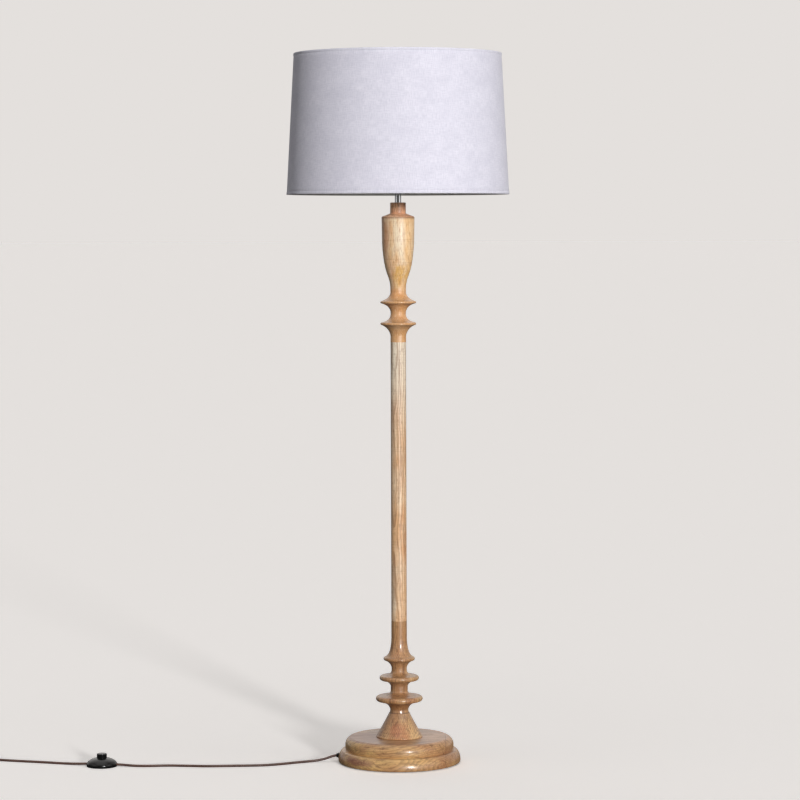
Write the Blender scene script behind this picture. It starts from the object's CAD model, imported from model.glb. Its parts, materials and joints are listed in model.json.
"""Looks of the candlestick floor lamp: wood, linen shade, cord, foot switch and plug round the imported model.

Metres. +Z is up, the front is -Y, and the origin is the centre of the base on the floor.
"""

import json
import math

import bmesh
import bpy
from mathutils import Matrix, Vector


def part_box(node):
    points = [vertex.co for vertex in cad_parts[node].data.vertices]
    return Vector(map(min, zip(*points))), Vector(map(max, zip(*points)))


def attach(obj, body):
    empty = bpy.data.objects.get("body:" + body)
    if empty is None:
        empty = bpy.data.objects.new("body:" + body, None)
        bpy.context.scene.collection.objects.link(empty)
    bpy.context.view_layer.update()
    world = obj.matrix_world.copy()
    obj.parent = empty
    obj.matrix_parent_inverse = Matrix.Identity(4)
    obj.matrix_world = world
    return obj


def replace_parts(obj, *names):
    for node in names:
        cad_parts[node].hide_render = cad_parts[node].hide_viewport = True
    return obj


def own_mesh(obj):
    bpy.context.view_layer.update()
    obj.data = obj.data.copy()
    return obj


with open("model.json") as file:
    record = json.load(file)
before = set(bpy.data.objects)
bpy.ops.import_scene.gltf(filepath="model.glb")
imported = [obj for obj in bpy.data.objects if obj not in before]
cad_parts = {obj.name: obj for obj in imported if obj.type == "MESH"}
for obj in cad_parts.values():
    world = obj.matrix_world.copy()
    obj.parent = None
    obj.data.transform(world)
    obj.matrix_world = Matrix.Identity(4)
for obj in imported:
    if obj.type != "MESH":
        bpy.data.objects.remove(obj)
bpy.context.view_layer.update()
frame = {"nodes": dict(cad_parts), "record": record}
nodes = frame["nodes"]

# ---------------------------------------------------------------- camera
LENS = 127.44
CAMERA_PLACE = (0.0040, -5.7449, 1.0929)
CAMERA_TILT = 86.5  # degrees from straight down
CAMERA_ROLL = 0.15  # degrees

camera = bpy.data.objects.new("camera", bpy.data.cameras.new("camera"))
camera.data.lens = LENS
camera.location = CAMERA_PLACE
camera.rotation_euler = (math.radians(CAMERA_TILT), math.radians(CAMERA_ROLL), 0)
bpy.context.scene.collection.objects.link(camera)
bpy.context.scene.camera = camera
bpy.context.scene.view_settings.view_transform = "Standard"

# ---------------------------------------------------------------- cord
CORD_DIAMETER = 0.005
CORD_R = CORD_DIAMETER / 2
LAMP_SIDE_ROUTE = [
    (-0.129, 0.0, 0.013),
    (-0.1375, 0.0, 0.0114),
    (-0.1495, -0.0012, 0.0068),
    (-0.165, -0.0034, 0.0035),
    (-0.183, -0.009, CORD_R),
    (-0.208, -0.0205, CORD_R),
    (-0.238, -0.037, CORD_R),
    (-0.270, -0.0505, CORD_R),
    (-0.303, -0.0545, CORD_R),
    (-0.342, -0.056, CORD_R),
    (-0.386, -0.0605, CORD_R),
    (-0.428, -0.055, CORD_R),
    (-0.470, -0.0505, CORD_R),
    (-0.505, -0.0555, CORD_R),
    (-0.536, -0.0543, CORD_R),
    (-0.5602, -0.048, 0.0036),
    (-0.5835, -0.0449, 0.0045),
]
PLUG_SIDE_ROUTE = [
    (-0.6265, -0.0391, 0.0045),
    (-0.6496, -0.036, 0.0036),
    (-0.673, -0.028, CORD_R),
    (-0.703, -0.020, CORD_R),
    (-0.738, -0.009, CORD_R),
    (-0.775, 0.0005, CORD_R),
    (-0.806, 0.0095, CORD_R),
    (-0.829, 0.017, CORD_R),
    (-0.850, 0.0196, CORD_R),
    (-0.866, 0.0189, CORD_R),
]
COIL_CENTRE = (-0.872, 0.050)
COIL_TURNS = 6.25
COIL_STEPS = 16  # points in each turn
# Where the winding is after so many turns: (turns, value) pairs, in straight lines between them
COIL_RADIUS = [
    (0, 0.0315), (0.75, 0.0315), (0.875, 0.0265), (1.75, 0.0265), (1.875, 0.0215), (2.75, 0.0215),
    (2.8125, 0.0198), (2.875, 0.0215), (3.75, 0.0215), (3.875, 0.0265), (4.75, 0.0265),
    (4.875, 0.0315), (COIL_TURNS, 0.0315),
]
COIL_HEIGHT = [
    (0, CORD_R), (2.75, CORD_R), (2.875, 0.0075), (5.5, 0.0075), (5.75, 0.0125), (COIL_TURNS, 0.0125),
]
PLUG_LEAD_ROUTE = [
    (-0.9035, 0.062, 0.0125),
    (-0.9037, 0.075, 0.0121),
    (-0.9038, 0.094, 0.0088),
    (-0.904, 0.1114, 0.00685),
]


def along(pairs, at):
    """The value at a place in (place, value) pairs."""
    for (a, low), (b, high) in zip(pairs, pairs[1:]):
        if at <= b:
            return low + (high - low) * (at - a) / (b - a)
    return pairs[-1][1]


def coil_points():
    """The put-away length, wound clockwise from its lowest Y: three turns inwards, three outwards on top."""
    points = []
    spread = 1 / math.cos(math.pi / COIL_STEPS)  # the spline runs this much inside its points
    for step in range(1, round(COIL_TURNS * COIL_STEPS)):
        turned = step / COIL_STEPS
        angle = -math.pi / 2 - 2 * math.pi * turned
        r = along(COIL_RADIUS, turned) * spread
        x, y = COIL_CENTRE[0] + r * math.cos(angle), COIL_CENTRE[1] + r * math.sin(angle)
        points.append((x, y, along(COIL_HEIGHT, turned)))
    return points


def cord_curve(name, points):
    """A round cord of one thickness along a smooth curve that the points pull."""
    data = bpy.data.curves.new(name, "CURVE")
    data.dimensions = "3D"
    data.bevel_depth = 1.0
    data.bevel_resolution = 5
    data.resolution_u = 12
    data.use_fill_caps = True
    spline = data.splines.new("NURBS")
    spline.points.add(len(points) - 1)
    for point, place in zip(spline.points, points):
        point.co = (*place, 1.0)
        point.radius = CORD_R
    spline.order_u = 3
    spline.use_endpoint_u = True
    curve = bpy.data.objects.new(name, data)
    bpy.context.scene.collection.objects.link(curve)
    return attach(curve, "stand")


lamp_cord = cord_curve("lamp_cord", LAMP_SIDE_ROUTE)
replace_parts(lamp_cord, "cord_lamp_side")
plug_cord = cord_curve("plug_cord", PLUG_SIDE_ROUTE + coil_points() + PLUG_LEAD_ROUTE)
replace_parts(plug_cord, "cord_plug_side", "cord_coil", "cord_plug_lead")


# ---------------------------------------------------------------- node materials
def rgb(red, green, blue):
    """A colour written 0 to 255 as seen on a screen, as the linear values that a shader takes."""
    linear = [c / 255 / 12.92 if c <= 10 else ((c / 255 + 0.055) / 1.055) ** 2.4 for c in (red, green, blue)]
    return (*linear, 1.0)


class Nodes:
    """One material, and short calls that add nodes to it."""

    def __init__(self, name, **constants):
        self.material = bpy.data.materials.new(name)
        self.material.use_nodes = True
        self.tree = self.material.node_tree
        self.shader = self.tree.nodes["Principled BSDF"]
        for key, value in constants.items():
            self.shader.inputs[key.replace("_", " ")].default_value = value
        self.place = self.add("TexCoord").outputs["Object"]

    def add(self, kind, inputs=(), **settings):
        node = self.tree.nodes.new("ShaderNode" + kind)
        for key, value in settings.items():
            setattr(node, key, value)
        for key, value in dict(inputs).items():
            if isinstance(value, bpy.types.NodeSocket):
                self.tree.links.new(value, node.inputs[key])
            else:
                node.inputs[key].default_value = value
        return node

    def math(self, operation, a, b=0.0):
        return self.add("Math", {0: a, 1: b}, operation=operation).outputs[0]

    def vector_math(self, operation, a, b):
        return self.add("VectorMath", {0: a, 1: b}, operation=operation).outputs[0]

    def axis(self, vector, index):
        return self.add("SeparateXYZ", {0: vector}).outputs[index]

    def moved(self, vector, location=(0, 0, 0), rotation=(0, 0, 0), scale=(1, 1, 1)):
        turns = [math.radians(angle) for angle in rotation]
        inputs = {"Vector": vector, "Location": location, "Rotation": turns, "Scale": scale}
        return self.add("Mapping", inputs).outputs[0]

    def noise(self, vector, scale, detail=2.0, roughness=0.5):
        inputs = {"Vector": vector, "Scale": scale, "Detail": detail, "Roughness": roughness}
        return self.add("TexNoise", inputs).outputs["Fac"]

    def spread(self, value, low, high, to_low=0.0, to_high=1.0):
        inputs = {"Value": value, "From Min": low, "From Max": high, "To Min": to_low, "To Max": to_high}
        return self.add("MapRange", inputs, interpolation_type="SMOOTHSTEP").outputs[0]

    def mix(self, share, a, b):
        """Colour a where the share is 0 and b where it is 1. 6, 7 and 2 are the node's colour sockets."""
        return self.add("Mix", {"Factor": share, 6: a, 7: b}, data_type="RGBA").outputs[2]

    def bump(self, height, strength, distance):
        inputs = {"Height": height, "Strength": strength, "Distance": distance}
        self.shade("Normal", self.add("Bump", inputs).outputs[0])

    def shade(self, socket, value):
        self.tree.links.new(value, self.shader.inputs[socket])


GRAIN_DRIFT = (0.03, 0.03, 0.0)  # how far the grain wanders sideways
RING_WAVER = 1.1  # how many rings wide the rings' own wandering is
PATCH_RAGGED = 1.8  # how far a patch's edge strays, as a share of its size


def wood(
    name, base, dark, pale, warm, pith, tilt, ring_width,
    rings=0.25, streaks=0.42, grain_turn=(0, 0, 0), patches=(), fades=(), seams=(),
):
    """Lacquered wood with growth rings round a tilted pith, uneven stain, fibres and short pores.

    The grain runs along Z until grain_turn turns it. Rings and streaks are how strongly each shows.
    Patches are (centre, radii, colour, strength). Fades are (full at z, gone at z, colour, strength).
    Seams are (axis, place, half width, colour) lines, where two pieces of wood meet.
    """
    n = Nodes(name, Coat_Weight=0.4, Coat_Roughness=0.18, Specular_IOR_Level=0.45)
    grain = n.moved(n.place, rotation=grain_turn)

    def figure(scale, detail=3.0, roughness=0.6, location=(0, 0, 0)):
        """Noise with this many features a metre across the grain and along it."""
        return n.noise(n.moved(grain, location=location, scale=scale), 1.0, detail, roughness)

    drift = n.add("TexNoise", {"Vector": n.moved(grain, scale=(14, 14, 5)), "Scale": 1.0, "Detail": 3.0})
    sideways = n.vector_math("ADD", drift.outputs["Color"], (-0.5, -0.5, -0.5))
    warped = n.vector_math("ADD", grain, n.vector_math("MULTIPLY", sideways, GRAIN_DRIFT))
    trunk = n.moved(warped, location=pith, rotation=tilt)
    x_squared, y_squared = (n.math("POWER", n.axis(trunk, index), 2.0) for index in (0, 1))
    reach_squared = n.math("ADD", x_squared, y_squared)
    uneven = n.math("MULTIPLY", n.noise(n.moved(trunk, scale=(90, 90, 6)), 1.0, 2.0), RING_WAVER)
    years = n.math("DIVIDE", n.math("SQRT", reach_squared), ring_width)
    ring = n.math("FRACT", n.math("ADD", years, uneven))
    late_wood = n.math("MULTIPLY", n.spread(ring, 0.2, 0.9), n.spread(ring, 1.0, 0.9))
    stain = figure((24, 24, 8), 4.0, location=(3.1, 1.7, 0.4))
    cloud = figure((20, 20, 6), 4.0)
    mottle = figure((230, 230, 80))
    fibre = figure((420, 420, 12))
    streak = figure((150, 150, 9), location=(7.0, 2.0, 0.0))
    pore = figure((900, 900, 70), 1.0, 0.5)
    ragged = figure((60, 60, 26), 4.0)
    lathe_mark = n.noise(n.moved(n.place, scale=(12, 12, 620)), 1.0, 2.0)

    colour = n.mix(n.spread(cloud, 0.42, 0.66), base, pale)
    colour = n.mix(n.spread(stain, 0.50, 0.74, 0.0, 0.6), colour, warm)
    for full_z, gone_z, tint, strength in fades:
        colour = n.mix(n.spread(n.axis(n.place, 2), gone_z, full_z, 0.0, strength), colour, tint)
    for centre, radii, tint, strength in patches:
        from_centre = n.vector_math("DIVIDE", n.vector_math("SUBTRACT", n.place, centre), radii)
        away = n.add("VectorMath", {0: from_centre}, operation="LENGTH").outputs["Value"]
        edge = n.math("ADD", away, n.math("MULTIPLY", n.math("SUBTRACT", ragged, 0.5), PATCH_RAGGED))
        colour = n.mix(n.math("MULTIPLY", n.spread(edge, 1.15, 0.35), strength), colour, tint)
    colour = n.mix(n.math("MULTIPLY", late_wood, rings), colour, dark)
    colour = n.mix(n.spread(streak, 0.50, 0.72, 0.0, streaks), colour, dark)
    colour = n.mix(n.spread(mottle, 0.50, 0.75, 0.0, 0.42), colour, dark)
    colour = n.mix(n.spread(fibre, 0.46, 0.28, 0.0, 0.40), colour, pale)
    colour = n.mix(n.spread(pore, 0.60, 0.72, 0.0, 0.5), colour, dark)
    colour = n.mix(n.spread(lathe_mark, 0.50, 0.72, 0.0, 0.22), colour, dark)
    for axis, place, half_width, tint in seams:
        off = n.math("ABSOLUTE", n.math("SUBTRACT", n.axis(n.place, axis), place))
        colour = n.mix(n.spread(off, half_width, half_width / 3, 0.0, 0.6), colour, tint)
    n.shade("Base Color", colour)
    n.shade("Roughness", n.spread(streak, 0.3, 0.75, 0.36, 0.54))
    height = n.math("SUBTRACT", n.math("MULTIPLY", fibre, 0.5), n.spread(pore, 0.60, 0.72, 0.0, 0.8))
    n.bump(height, 0.3, 0.0003)
    return n.material


SHADE_MEAN_R = 0.217  # turns the angle round the shade into a length along its threads
THREAD_PITCH = 0.0011


def cloth(name, base, shadow):
    """Plain weave wrapped round the lamp's axis, with thick places in its threads both ways."""
    n = Nodes(name, Roughness=0.85, Sheen_Weight=0.25, Sheen_Roughness=0.5, Specular_IOR_Level=0.2)
    turn = n.math("ARCTAN2", n.axis(n.place, 0), n.math("MULTIPLY", n.axis(n.place, 1), -1.0))
    round_it = n.math("MULTIPLY", turn, SHADE_MEAN_R)
    up = n.axis(n.place, 2)
    flat = n.add("CombineXYZ", {0: round_it, 1: up, 2: 0.0}).outputs[0]
    threads_a_metre = 2 * math.pi / THREAD_PITCH
    warp = n.math("SINE", n.math("MULTIPLY", round_it, threads_a_metre))
    weft = n.math("SINE", n.math("MULTIPLY", up, threads_a_metre))
    weave = n.math("MULTIPLY", warp, weft)
    across = n.noise(n.moved(flat, scale=(70, 700, 1)), 1.0, 2.0, 0.6)
    upright = n.noise(n.moved(flat, scale=(700, 70, 1)), 1.0, 2.0, 0.6)
    cloudy = n.noise(n.moved(flat, scale=(22, 30, 1)), 1.0, 3.0, 0.6)
    slubs = n.math("ADD", n.math("MULTIPLY", across, 0.45), n.math("MULTIPLY", upright, 0.55))
    colour = n.mix(n.spread(slubs, 0.36, 0.64, 0.0, 0.5), base, shadow)
    colour = n.mix(n.spread(cloudy, 0.35, 0.7, 0.0, 0.25), colour, shadow)
    colour = n.mix(n.spread(weave, -1.0, 0.2, 0.2, 0.0), colour, shadow)
    n.shade("Base Color", colour)
    height = n.math("ADD", n.math("MULTIPLY", weave, 0.5), slubs)
    n.bump(n.math("ADD", height, n.math("MULTIPLY", cloudy, 2.0)), 0.35, 0.0003)
    return n.material


def moulded(name, base, fleck, roughness, grain=900.0, depth=0.00006, **constants):
    """Plastic, rubber, glaze or paint: nearly one colour, with a fine surface texture and faint wear."""
    n = Nodes(name, **constants)
    fine = n.noise(n.place, grain, 2.0)
    broad = n.noise(n.place, 45.0, 3.0)
    n.shade("Base Color", n.mix(n.spread(broad, 0.35, 0.7), base, fleck))
    n.shade("Roughness", n.spread(broad, 0.3, 0.7, roughness * 0.85, roughness * 1.15))
    n.bump(fine, 0.25, depth)
    return n.material


def metal(name, base, tarnish, roughness, brushed=(1, 1, 1)):
    """Polished or plated metal with faint lines and slightly duller places. brushed stretches the lines."""
    n = Nodes(name, Metallic=1.0)
    lines = n.noise(n.moved(n.place, scale=brushed), 420.0, 2.0)
    broad = n.noise(n.place, 60.0, 3.0)
    n.shade("Base Color", n.mix(n.spread(broad, 0.4, 0.75), base, tarnish))
    n.shade("Roughness", n.spread(lines, 0.3, 0.7, roughness * 0.7, roughness * 1.3))
    n.bump(lines, 0.15, 0.00003)
    return n.material


# The colours and the places of patches, fades and seams follow the photograph; places are in metres.
FINISHES = {
    "base_wood": wood(
        "base_wood", rgb(190, 144, 98), rgb(88, 54, 32), rgb(222, 180, 116), rgb(168, 102, 66),
        pith=(0.0, 0.09, 0.0), tilt=(0, 7, 3), ring_width=0.0042, rings=0.3, streaks=0.6,
        grain_turn=(0, 90, 0),
        patches=[
            ((-0.085, -0.09, 0.016), (0.035, 0.05, 0.010), rgb(128, 66, 56), 0.75),
            ((0.02, -0.12, 0.018), (0.09, 0.05, 0.010), rgb(216, 172, 108), 0.6),
            ((0.10, -0.06, 0.022), (0.03, 0.05, 0.02), rgb(164, 116, 84), 0.5),
            ((-0.075, -0.02, 0.052), (0.06, 0.08, 0.004), rgb(140, 94, 70), 0.8),
            ((0.075, -0.02, 0.052), (0.05, 0.08, 0.004), rgb(228, 178, 138), 0.8),
        ],
        fades=[(0.0528, 0.047, rgb(172, 128, 96), 0.7)],  # the base's top
        seams=[(0, 0.094, 0.0009, rgb(110, 74, 50))],  # a glue line between two boards
    ),
    "turned_wood": wood(
        "turned_wood", rgb(188, 140, 96), rgb(74, 42, 26), rgb(218, 178, 126), rgb(176, 102, 62),
        pith=(0.035, 0.02, 0.0), tilt=(2, -3, 0), ring_width=0.0036, rings=0.3, streaks=0.55,
        patches=[
            ((-0.004, -0.04, 0.070), (0.022, 0.03, 0.016), rgb(176, 104, 72), 0.6),
            ((0.010, -0.03, 0.095), (0.014, 0.03, 0.010), rgb(190, 158, 128), 0.5),
            ((0.0, -0.03, 0.135), (0.05, 0.05, 0.012), rgb(190, 128, 82), 0.35),
            ((0.0, -0.02, 0.116), (0.05, 0.05, 0.011), rgb(146, 98, 60), 0.75),
            ((0.0, -0.02, 0.155), (0.05, 0.05, 0.012), rgb(164, 118, 82), 0.6),
        ],
        seams=[(2, 0.1018, 0.0012, rgb(74, 44, 28))],  # the cone's top
    ),
    "vase_wood": wood(
        "vase_wood", rgb(252, 208, 152), rgb(176, 112, 62), rgb(255, 236, 204), rgb(240, 168, 112),
        pith=(0.05, 0.03, 0.0), tilt=(3, 2, 0), ring_width=0.0038, rings=0.2, streaks=0.3,
        patches=[
            ((0.010, -0.03, 0.985), (0.026, 0.03, 0.030), rgb(238, 182, 78), 0.9),
            ((-0.026, -0.02, 1.075), (0.014, 0.03, 0.05), rgb(214, 146, 110), 0.6),
            ((-0.002, -0.02, 0.958), (0.03, 0.03, 0.012), rgb(232, 168, 108), 0.6),
        ],
        fades=[  # the vase's foot, and the shoulder under the collar
            (0.95, 0.99, rgb(216, 158, 100), 0.8), (1.114, 1.106, rgb(140, 98, 74), 0.95),
        ],
    ),
    "collar_wood": wood(
        "collar_wood", rgb(240, 178, 136), rgb(104, 58, 38), rgb(255, 214, 172), rgb(206, 120, 84),
        pith=(0.02, 0.02, 0.0), tilt=(8, 4, 0), ring_width=0.003, rings=0.3,
    ),
    "pole_wood": wood(
        "pole_wood", rgb(230, 182, 134), rgb(140, 90, 54), rgb(248, 220, 184), rgb(216, 148, 96),
        pith=(0.045, 0.06, 0.0), tilt=(1.2, 0.9, 0), ring_width=0.0046, rings=0.5, streaks=0.55,
        patches=[((-0.013, -0.008, 0.33), (0.008, 0.02, 0.05), rgb(238, 218, 190), 0.7)],
        fades=[(0.86, 0.60, rgb(255, 244, 222), 0.85)],  # paler towards the top
    ),
    "hardboard": moulded("hardboard", rgb(112, 82, 58), rgb(92, 66, 46), 0.8, 500, 0.0002),
    "felt": moulded("felt", rgb(52, 44, 40), rgb(40, 34, 32), 0.95, 1500, 0.0004, Sheen_Weight=0.4),
    "cast_iron": moulded("cast_iron", rgb(70, 70, 72), rgb(52, 50, 48), 0.7, 300, 0.0005, Metallic=0.6),
    "zinc_steel": metal("zinc_steel", rgb(196, 199, 202), rgb(168, 170, 172), 0.35),
    "spring_steel": metal("spring_steel", rgb(170, 172, 176), rgb(140, 140, 142), 0.3),
    "chrome": metal("chrome", rgb(216, 217, 220), rgb(200, 201, 204), 0.08),
    "nickel": metal("nickel", rgb(214, 210, 202), rgb(190, 184, 172), 0.18, (1, 0.1, 1)),
    "brass": metal("brass", rgb(212, 176, 98), rgb(176, 136, 70), 0.25),
    "black_plastic": moulded(
        "black_plastic", rgb(15, 14, 14), rgb(20, 19, 19), 0.34, 1200, Specular_IOR_Level=0.22,
    ),
    "switch_gloss": moulded(
        "switch_gloss", rgb(12, 12, 12), rgb(17, 17, 17), 0.2, 700, 0.00002, Specular_IOR_Level=0.3,
    ),
    "holder_plastic": moulded("holder_plastic", rgb(230, 228, 224), rgb(220, 217, 211), 0.4),
    "porcelain": moulded("porcelain", rgb(238, 236, 230), rgb(228, 224, 216), 0.22, Coat_Weight=0.5),
    "black_glass": moulded("black_glass", rgb(26, 26, 30), rgb(34, 34, 38), 0.12, Coat_Weight=0.6),
    "bulb_plastic": moulded("bulb_plastic", rgb(238, 238, 234), rgb(228, 227, 222), 0.45),
    "opal_glass": moulded(
        "opal_glass", rgb(246, 246, 242), rgb(238, 238, 233), 0.3, 200, 0.00003, Subsurface_Weight=0.3,
    ),
    "shade_linen": cloth("shade_linen", rgb(243, 240, 251), rgb(206, 204, 219)),
    "shade_liner": moulded("shade_liner", rgb(242, 242, 240), rgb(234, 233, 230), 0.5),
    "white_wire": moulded("white_wire", rgb(236, 236, 232), rgb(222, 221, 216), 0.4, 500, 0.0001),
    "cord_sheath": moulded("cord_sheath", rgb(84, 58, 49), rgb(70, 46, 38), 0.5, 1100, 0.00012),
}
for part in frame["record"]["subparts"]:
    piece = nodes[part["node"]]
    piece.data.materials.clear()
    piece.data.materials.append(FINISHES[part["material_slot"]])
for cord in (lamp_cord, plug_cord):
    cord.data.materials.append(FINISHES["cord_sheath"])


# ---------------------------------------------------------------- meshes
def mesh_object(name, shape, body, finish, smooth_angle=40):
    """The finished shape as an object that rides on a body, smooth where faces meet under the angle."""
    data = bpy.data.meshes.new(name)
    shape.to_mesh(data)
    shape.free()
    for polygon in data.polygons:
        polygon.use_smooth = True
    data.set_sharp_from_angle(angle=math.radians(smooth_angle))
    piece = bpy.data.objects.new(name, data)
    bpy.context.scene.collection.objects.link(piece)
    data.materials.append(FINISHES[finish])
    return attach(piece, body)


def join_rings(shape, rings):
    """Four-sided faces from each ring of vertices to the next."""
    for ring, after in zip(rings, rings[1:]):
        for i in range(len(ring)):
            j = (i + 1) % len(ring)
            shape.faces.new((ring[i], ring[j], after[j], after[i]))


def turned(name, outline, body, finish, segments, smooth_angle=40, places=((0, 0),)):
    """A closed outline of (r, z) points turned about Z at each (x, y) place."""
    shape = bmesh.new()
    angles = [2 * math.pi * i / segments for i in range(segments)]
    for x, y in places:
        rings = [
            [shape.verts.new((x + r * math.cos(a), y + r * math.sin(a), z)) for a in angles]
            for r, z in outline
        ]
        join_rings(shape, rings + rings[:1])
    bmesh.ops.recalc_face_normals(shape, faces=shape.faces)
    return mesh_object(name, shape, body, finish, smooth_angle)


def swept(name, rings, body, finish):
    """A solid through rings of (x, y, z) points, closed at both ends."""
    shape = bmesh.new()
    rings = [[shape.verts.new(point) for point in ring] for ring in rings]
    join_rings(shape, rings)
    shape.faces.new(rings[0])
    shape.faces.new(rings[-1])
    bmesh.ops.recalc_face_normals(shape, faces=shape.faces)
    return mesh_object(name, shape, body, finish)


# ---------------------------------------------------------------- shade
SHADE_LOW, SHADE_HIGH = 1.1582, 1.4419
SHADE_LOW_R, SHADE_HIGH_R = 0.2250, 0.2096
CLOTH_THICKNESS = 0.0008
HEM_HEIGHT = 0.005
HEM_PROUD = 0.0005
LAP_WIDTH = 0.014
LAP_PROUD = 0.0004
LAP_START = 0.9  # share of a hem's height where the lap comes out of it
SHADE_STEPS = 24
# A hem's section: (share of HEM_PROUD, share of HEM_HEIGHT), from its fold up the outside to the inside
HEM_SECTION = [
    (0.0, 0.0), (0.7, 0.03), (1.0, 0.14), (1.0, 0.55), (0.9, 0.84), (0.55, 0.97), (-0.3, 1.0), (-0.3, 0.0),
]
# The lap's section: (share of half its width, share of LAP_PROUD) round it
LAP_SECTION = [
    (-1.0, -0.2), (-1.0, 0.6), (-0.94, 1.0), (0.0, 1.0), (0.94, 1.0), (1.0, 0.6), (1.0, -0.2), (0.0, -0.2),
]


def shade_r(z):
    """The cloth's outer radius at a height."""
    return along([(SHADE_LOW, SHADE_LOW_R), (SHADE_HIGH, SHADE_HIGH_R)], z)


def shade_cloth():
    """The drum's cloth in one skin, its cut edges rounded."""
    heights = [SHADE_LOW + (SHADE_HIGH - SHADE_LOW) * i / SHADE_STEPS for i in range(SHADE_STEPS + 1)]
    half = CLOTH_THICKNESS / 2
    heights[0] += half
    heights[-1] -= half
    outer = [(shade_r(z), z) for z in heights]
    inner = [(shade_r(z) - CLOTH_THICKNESS, z) for z in reversed(heights)]
    top, bottom = (shade_r(SHADE_HIGH) - half, SHADE_HIGH), (shade_r(SHADE_LOW) - half, SHADE_LOW)
    return turned("shade_cloth", outer + [top] + inner + [bottom], "shade", "shade_linen", 240, 80)


def rolled_hem(name, edge_z, inwards):
    """The cloth turned over the edge: thick at its fold, thinning to its cut edge.

    inwards is 1 for a hem that goes up from its edge and -1 for one that goes down.
    """
    outline = []
    for proud, share in HEM_SECTION:
        z = edge_z + inwards * share * HEM_HEIGHT
        outline.append((shade_r(z) + proud * HEM_PROUD, z))
    return turned(name, outline, "shade", "shade_linen", 240, 60)


def lap_seam():
    """The cloth's overlap, up the back."""
    low, high = SHADE_LOW + HEM_HEIGHT * LAP_START, SHADE_HIGH - HEM_HEIGHT * LAP_START
    rings = []
    for i in range(SHADE_STEPS + 1):
        z = low + (high - low) * i / SHADE_STEPS
        half = LAP_WIDTH / 2 / shade_r(z)  # in radians
        ring = []
        for turn, proud in LAP_SECTION:
            angle, r = math.pi / 2 + turn * half, shade_r(z) + proud * LAP_PROUD
            ring.append((r * math.cos(angle), r * math.sin(angle), z))
        rings.append(ring)
    return swept("shade_lap", rings, "shade", "shade_linen")


cloth_skin = shade_cloth()
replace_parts(cloth_skin, "shade_fabric")
bottom_roll = rolled_hem("bottom_roll", SHADE_LOW, 1)
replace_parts(bottom_roll, "bottom_hem")
top_roll = rolled_hem("top_roll", SHADE_HIGH, -1)
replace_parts(top_roll, "top_hem")
lap_seam()

# ---------------------------------------------------------------- foot switch's spring
SWITCH_PLACE = (-0.605, -0.042)
SWITCH_TURN = -7.66  # degrees
SPRING_R = 0.0056
SPRING_WIRE_R = 0.0004
SPRING_PITCH = 0.0026
SPRING_STEPS = 40  # rings of the wire in each turn
WIRE_SIDES = 10


def button_spring():
    """The same coil as the CAD spring's, as a mesh that is pressed together with the button."""
    low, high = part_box("switch_spring")
    rise = high[2] - low[2] - 2 * SPRING_WIRE_R
    steps = round(rise / SPRING_PITCH * SPRING_STEPS)
    rings = []
    for i in range(steps + 1):
        angle = math.radians(SWITCH_TURN) + 2 * math.pi * rise / SPRING_PITCH * i / steps
        z = low[2] + SPRING_WIRE_R + rise * i / steps
        ring = []
        for k in range(WIRE_SIDES):
            round_wire = 2 * math.pi * k / WIRE_SIDES
            r = SPRING_R + SPRING_WIRE_R * math.cos(round_wire)
            x, y = SWITCH_PLACE[0] + r * math.cos(angle), SWITCH_PLACE[1] + r * math.sin(angle)
            ring.append((x, y, z + SPRING_WIRE_R * math.sin(round_wire)))
        rings.append(ring)
    coil = swept("button_spring", rings, "stand", "spring_steel")
    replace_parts(coil, "switch_spring")
    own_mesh(coil)
    return coil


spring = button_spring()

# ---------------------------------------------------------------- glide pads
PAD_R = 0.009
PAD_AXIS_R = 1e-5  # the outline stops this close to a pad's axis
# A pad's section: (share of its radius, share of its height) from the middle of its underside
PAD_SECTION = [(0.0, 0.0), (0.93, 0.0), (0.98, 0.2), (1.0, 0.5), (0.985, 0.8), (0.95, 1.0), (0.0, 1.0)]


def glide_pads():
    """Cut felt discs, their edges a little crushed by the lamp's weight."""
    low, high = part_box("glide_pads")
    off = high[0] - PAD_R
    thick = high[2] - low[2]
    outline = [(max(share * PAD_R, PAD_AXIS_R), low[2] + up * thick) for share, up in PAD_SECTION]
    places = [(x, y) for x in (-off, off) for y in (-off, off)]
    return turned("felt_pads", outline, "stand", "felt", 48, places=places)


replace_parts(glide_pads(), "glide_pads")

# ---------------------------------------------------------------- studio
BACKGROUND = rgb(228, 224, 221)
FLOOR_GLOW = 0.16  # share of the background's colour that the camera sees whatever the light
FLOOR_BOUNCE = 0.15  # how much of the light that falls on the floor comes back onto the lamp
AMBIENT = 0.10
FLOOR_SIZE = 400
DARK_SIDES = rgb(44, 42, 41)  # what polished metal mirrors from the studio's far sides and its middle
# How far a mirrored direction points sideways, or towards the camera (-Y), where the dark begins and is full
FAR_SIDES = (0.84, 0.94)
MIDDLE = (-0.78, -0.90)
LIGHTS = [  # name, azimuth, elevation, strength, softness; azimuth 0 is the camera's side and 90 the right
    ("key", 22, 8, 0.84, 7),
    ("right_fill", 66, 14, 0.11, 40),
    ("left_fill", -70, 18, 0.065, 50),
    ("back_fill", 190, 45, 0.12, 60),
    ("top", 0, 78, 0.18, 60),
]


def sun(name, azimuth, elevation, strength, softness):
    """Light from a direction. At strength 1 a face turned to it shows its colour as written."""
    lamp = bpy.data.lights.new(name, "SUN")
    lamp.energy = strength * math.pi
    lamp.angle = math.radians(softness)
    light = bpy.data.objects.new(name, lamp)
    a, e = math.radians(azimuth), math.radians(elevation)
    towards = Vector((math.sin(a) * math.cos(e), -math.cos(a) * math.cos(e), math.sin(e)))
    light.rotation_euler = towards.to_track_quat("Z", "Y").to_euler()
    bpy.context.scene.collection.objects.link(light)


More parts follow.
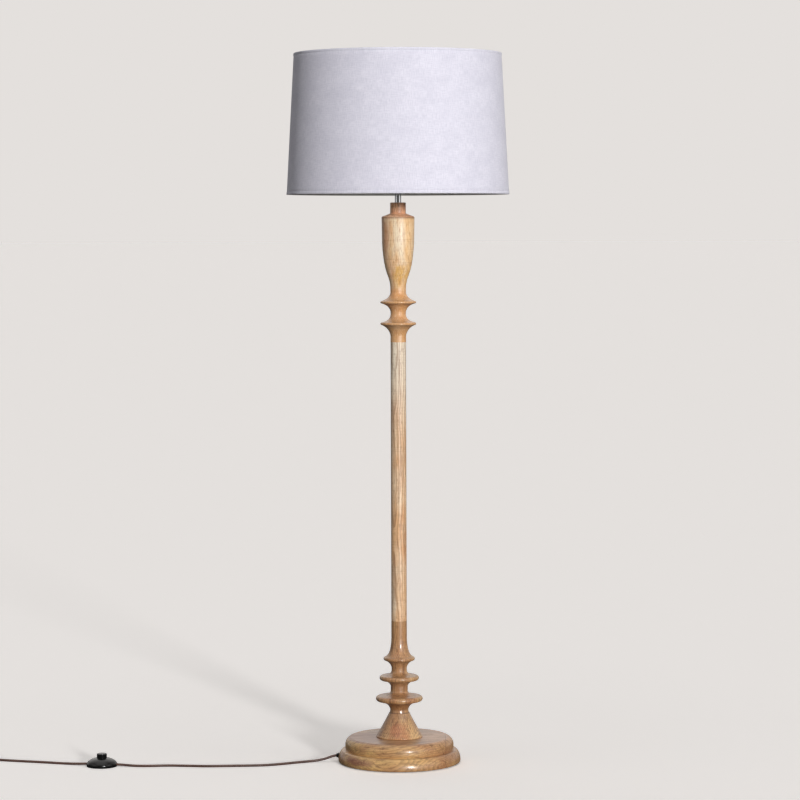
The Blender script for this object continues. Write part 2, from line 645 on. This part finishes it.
def world_light():
    """Even light. The camera sees the background, and polished metal mirrors it with dark parts."""
    world = bpy.context.scene.world or bpy.data.worlds.new("world")
    bpy.context.scene.world = world
    world.use_nodes = True
    tree = world.node_tree
    tree.nodes.clear()

    def add(kind, *inputs, **settings):
        node = tree.nodes.new("ShaderNode" + kind)
        for key, value in settings.items():
            setattr(node, key, value)
        for socket, value in zip(node.inputs, inputs):
            if isinstance(value, bpy.types.NodeSocket):
                tree.links.new(value, socket)
            elif value is not None:
                socket.default_value = value
        return node

    paths = add("LightPath").outputs
    glossy, passed = paths["Is Glossy Ray"], paths["Is Transmission Ray"]
    mirrored = add("Math", glossy, passed, operation="MAXIMUM").outputs[0]
    heading = add("SeparateXYZ", add("TexCoord").outputs["Generated"]).outputs
    sideways = add("Math", heading[0], operation="ABSOLUTE").outputs[0]
    far_side = add("MapRange", sideways, *FAR_SIDES, 0.0, 0.9, interpolation_type="SMOOTHSTEP")
    middle = add("MapRange", heading[1], *MIDDLE, 0.0, 0.95, interpolation_type="SMOOTHSTEP")
    dark = add("Math", far_side.outputs[0], middle.outputs[0], operation="MAXIMUM").outputs[0]
    light_part, dark_part = (add("Background", colour).outputs[0] for colour in (BACKGROUND, DARK_SIDES))
    around = add("MixShader", dark, light_part, dark_part)
    ambient = add("Background", (1, 1, 1, 1), AMBIENT).outputs[0]
    unseen = add("MixShader", mirrored, ambient, around.outputs[0]).outputs[0]
    seen = add("MixShader", paths["Is Camera Ray"], unseen, add("Background", BACKGROUND).outputs[0])
    add("OutputWorld", seen.outputs[0])


def floor():
    """A floor that the camera sees in the background's colour, with the lamp's shadow on it."""
    bpy.ops.mesh.primitive_plane_add(size=FLOOR_SIZE)
    plane = bpy.context.object
    plane.name = "floor"
    falls_on_it = AMBIENT + sum(strength * math.sin(math.radians(up)) for _, _, up, strength, _ in LIGHTS)
    share = (1 - FLOOR_GLOW) / falls_on_it  # lit and glowing, it shows the background's colour
    seen = tuple(channel * share for channel in BACKGROUND[:3]) + (1.0,)
    n = Nodes("floor", Roughness=0.95, Specular_IOR_Level=0.0)
    camera_ray = n.add("LightPath").outputs["Is Camera Ray"]
    n.shade("Base Color", n.mix(camera_ray, (FLOOR_BOUNCE,) * 3 + (1.0,), seen))
    n.shader.inputs["Emission Color"].default_value = BACKGROUND
    n.shade("Emission Strength", n.math("MULTIPLY", camera_ray, FLOOR_GLOW))
    plane.data.materials.append(n.material)


for lamp_settings in LIGHTS:
    sun(*lamp_settings)
world_light()
floor()

bpy.context.view_layer.update()
